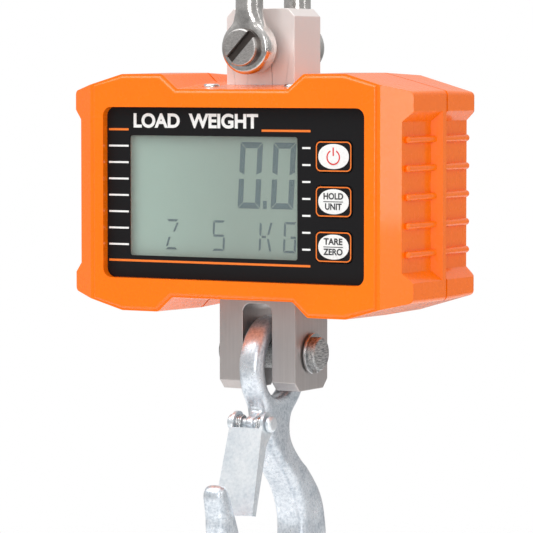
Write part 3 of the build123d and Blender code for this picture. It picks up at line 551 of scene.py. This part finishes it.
def printKeys():
    labels = {"power_key": None, "hold_key": (("HOLD", 8.4), ("UNIT", 7.1)),
              "tare_key": (("TARE", 8.0), ("ZERO", 8.2))}
    for key, words in labels.items():
        low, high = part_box(key)
        x = (low.x + high.x) / 2 / mm
        z = ((low.z + high.z) / 2 - caseZ) / mm
        title = key.split("_")[0]
        width, height, radius = keyFace["frame"]
        line = keyFace["line"]
        ring = [roundedRectangle(x, z, width, height, radius),
                roundedRectangle(x, z, width - 2 * line, height - 2 * line, radius - line)]
        finishPiece(printShape(title + "KeyFrame", ring, keyY), orangeInk, key)
        finishPiece(dome(title + "KeyFace", x, z, keyY - 0.02 * mm), whiteInk, key)
        top = keyY - (keyFace["dome"] + 0.02) * mm
        if words is None:
            finishPiece(printShape("powerMark", powerMark(x, z), top), redInk, key)
            continue
        for step, (word, wide) in zip((1, -1), words):
            made = printWords(title + "Word" + str(step % 3), word, x, z + step * 1.95, keyFace["words"],
                              wide, top,
                              0.0, 0.09)
            finishPiece(made, darkInk, key)
        bar = [rectangle(x - 4.2, x + 4.2, z - 0.14, z + 0.14)]
        finishPiece(printShape(title + "Rule", bar, top), darkInk, key)


# Liquid crystal reading: seven bars per figure, leaning to the right.
bigFigure = {"width": 9.9, "height": 25.4, "bar": 2.3, "lean": 0.055, "gap": 0.25}
smallFigure = {"width": 5.6, "height": 11.8, "bar": 0.9, "lean": 0.05, "gap": 0.25}
barSets = {"0": "abcdef", "5": "acdfg", "Z": "adz", "K": "efkx", "G": "adefhc"}
reading = {"bigLow": -5.6, "bigLefts": (-0.4, 14.2), "dot": (10.9, 12.5, 3.1),
           "smallLow": -22.2, "small": (("Z", -33.0), ("5", -11.9), ("K", 8.9), ("G", 19.6))}


def figureBars(mark, left, low, size):
    width, height, bar, lean, gap = (size[key] for key in ("width", "height", "bar", "lean", "gap"))
    half = height / 2
    loops = []

    def flat(z, sense):  # a horizontal bar with mitred ends
        cut = bar * 0.95 if sense else bar / 2
        inner = z - sense * bar
        if sense:
            loops.append([(gap, z), (width - gap, z), (width - gap - cut, inner), (gap + cut, inner)])
        else:
            middle = [(gap, z), (gap + cut, z + cut), (width - gap - cut, z + cut), (width - gap, z),
                      (width - gap - cut, z - cut), (gap + cut, z - cut)]
            loops.append(middle)

    def upright(x, z0, z1, sense, outerLow):  # a vertical bar, mitred at its outer end
        inner = x + sense * bar
        ends = (z0 + gap, z0 + gap + bar * 0.95) if outerLow else (z0 + gap + bar / 2, z0 + gap)
        tops = (z1 - gap - bar / 2, z1 - gap) if outerLow else (z1 - gap, z1 - gap - bar * 0.95)
        loops.append([(x, ends[0]), (inner, ends[1]), (inner, tops[1] - (bar / 2 if outerLow else 0)),
                      (x, tops[0])])

    bars = barSets[mark]
    if "a" in bars:
        flat(height, 1)
    if "d" in bars:
        flat(0, -1)
    if "g" in bars:
        flat(half, 0)
    if "f" in bars:
        upright(0, half, height, 1, False)
    if "b" in bars:
        upright(width, half, height, -1, False)
    if "e" in bars:
        upright(0, 0, half, 1, True)
    if "c" in bars:
        upright(width, 0, half, -1, True)
    if "z" in bars:  # two thin strokes that lean towards each other
        loops.append([(width * 0.56, half + 1.0), (width * 0.56 + bar, half + 1.0), (width, height - 1.3),
                      (width - bar, height - 1.3)])
        loops.append([(0.2, 1.3), (0.2 + bar, 1.3), (width * 0.38, half - 1.0),
                      (width * 0.38 - bar, half - 1.0)])
    if "k" in bars:  # short middle stub on the left
        loops.append(rectangle(bar + gap, width * 0.52, half - bar / 2, half + bar / 2))
    if "h" in bars:  # short middle stub on the right
        loops.append(rectangle(width * 0.56, width - gap, half - bar / 2, half + bar / 2))
    if "x" in bars:
        loops.append([(width * 0.62, half + 0.8), (width * 0.62 + bar, half + 0.8), (width, height - 0.4),
                      (width - bar, height - 0.4)])
        loops.append([(width * 0.62, half - 0.8), (width * 0.62 + bar, half - 0.8), (width, 0.4),
                      (width - bar, 0.4)])
    return [[(left + x + lean * z, low + z) for x, z in loop] for loop in loops]


def printReading():
    loops = []
    for left in reading["bigLefts"]:
        loops += figureBars("0", left, reading["bigLow"], bigFigure)
    left, right, height = reading["dot"]
    loops.append(rectangle(left, right, reading["bigLow"], reading["bigLow"] + height))
    for mark, left in reading["small"]:
        loops += figureBars(mark, left, reading["smallLow"], smallFigure)
    finishPiece(printShape("lcdFigures", loops, lcdY, 0.08 * mm), segmentInk, "scale_body")


printPanel()
printKeys()
printReading()
print("panel printed")


# Latch spring: two coils on the rivet with a leg behind the latch and one up the neck.
springShape = {"coilRadius": 2.75, "wire": 0.42, "turns": 3, "start": 3.75, "leg": 15.0, "neckLeg": 1.5,
               "lean": 16.4}


def coilSpring():
    pivot = Vector(joints["latch_hinge"]["pos_m"])
    drawing = bpy.data.curves.new("latchCoil", "CURVE")
    drawing.dimensions = "3D"
    drawing.bevel_depth = springShape["wire"] * mm
    drawing.bevel_resolution = 4
    radius = springShape["coilRadius"]
    pitch = 2 * springShape["wire"] * 1.04
    for side in (-1, 1):
        points = [(side * springShape["start"], -radius, -springShape["leg"])]
        count = springShape["turns"] * 20
        for step in range(count + 1):
            angle = math.pi - 2 * math.pi * step / 20
            x = side * (springShape["start"] + pitch * step / 20)
            points.append((x, radius * math.cos(angle), radius * math.sin(angle)))
        points.append((points[-1][0], -radius + 0.8, springShape["neckLeg"]))
        line = drawing.splines.new("POLY")
        line.points.add(len(points) - 1)
        for point, place in zip(line.points, points):
            point.co = (*[v * mm for v in place], 1)
    piece = bpy.data.objects.new("latchCoil", drawing)
    scene.collection.objects.link(piece)
    piece.matrix_world = Matrix.Translation(pivot) @ Matrix.Rotation(math.radians(-springShape["lean"]), 4,
                                                                     "X")
    piece = bake(piece)
    for face in piece.data.polygons:
        face.use_smooth = True
    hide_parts("latch_spring")
    return finishPiece(piece, brightSteel, "latch")


coilSpring()
print("spring wound")

# Stage: pale floor well below the hook that fades out with distance, soft lights and the camera.
stageSizes = {"floorDrop": 0.09, "floor": 6.0, "fade": (0.5, 1.0), "fill": (0.2, 0.85), "backdrop": 1.0}


def floorSurface(place):
    grain = noise(place, 3.0, 4.0)
    distance = place.node("ShaderNodeVectorMath", {"operation": "LENGTH"},
                          {0: stretched(place, 1.0, 1.0, 0.0)}, 1)
    return {"Base Color": grain.spread(0.3, 0.75).mix(colour(250, 250, 250), colour(247, 247, 247)),
            "Roughness": 0.9, "Alpha": 1 - distance.spread(*stageSizes["fade"])}


def makeStage():
    low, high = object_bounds()
    z = low.z - stageSizes["floorDrop"]
    half = stageSizes["floor"]
    mesh = bpy.data.meshes.new("floor")
    corners = [(-half, -half, z), (half, -half, z), (half, half, z), (-half, half, z)]
    mesh.from_pydata(corners, [], [(0, 1, 2, 3)])
    floor = bpy.data.objects.new("floor", mesh)
    scene.collection.objects.link(floor)
    mesh.materials.append(material("paleFloor", {}, floorSurface))
    world = bpy.data.worlds.new("studio")
    world.use_nodes = True
    tree = world.node_tree
    back = tree.nodes["Background"]
    back.inputs[0].default_value = (1, 1, 1, 1)
    # a white backdrop that gives the object only part of its light, and more from above than below
    seen = Socket(tree, tree.nodes.new("ShaderNodeLightPath").outputs["Is Camera Ray"])
    way = Socket(tree, tree.nodes.new("ShaderNodeTexCoord").outputs["Generated"])
    up = way.node("ShaderNodeSeparateXYZ", None, {0: way}, 2).spread(-0.5, 0.9)
    low, high = stageSizes["fill"]
    fill = low + (high - low) * up
    tree.links.new((fill + seen * (stageSizes["backdrop"] - fill)).output, back.inputs[1])
    scene.world = world


def softBox(name, place, aim, size, power):
    lamp = bpy.data.lights.new(name, "AREA")
    lamp.shape = "RECTANGLE"
    lamp.size, lamp.size_y = size
    lamp.energy = power
    holder = bpy.data.objects.new(name, lamp)
    holder.location = place
    holder.rotation_euler = (Vector(aim) - Vector(place)).to_track_quat("-Z", "Y").to_euler()
    scene.collection.objects.link(holder)


cameraPose = {"turn": 30.07, "down": 3.4, "distance": 1.225, "lens": 217.9,
              "aim": (0.01587, -0.033, -0.13067)}


def placeCamera():
    turn, down = math.radians(cameraPose["turn"]), math.radians(cameraPose["down"])
    away = Vector((math.sin(turn) * math.cos(down), -math.cos(turn) * math.cos(down), math.sin(down)))
    aim = Vector(cameraPose["aim"])
    lens = bpy.data.cameras.new("camera")
    lens.lens = cameraPose["lens"]
    lens.sensor_width = 36.0
    lens.clip_end = 50.0
    camera = bpy.data.objects.new("camera", lens)
    camera.location = aim + away * cameraPose["distance"]
    camera.rotation_euler = (-away).to_track_quat("-Z", "Y").to_euler()
    scene.collection.objects.link(camera)
    scene.camera = camera


makeStage()
softBox("keyLight", (-0.6, -0.8, 1.2), (0, 0, -0.12), (1.3, 1.0), 15.0)
softBox("frontLight", (0.8, -1.4, 0.25), (0, 0, -0.12), (0.5, 0.9), 8.0)
softBox("topLight", (0.0, 0.25, 1.1), (0, 0, -0.12), (1.3, 0.8), 5.0)
softBox("sideLight", (1.2, 0.15, 0.15), (0, 0, -0.12), (0.06, 1.1), 0.8)
placeCamera()
print("stage set")
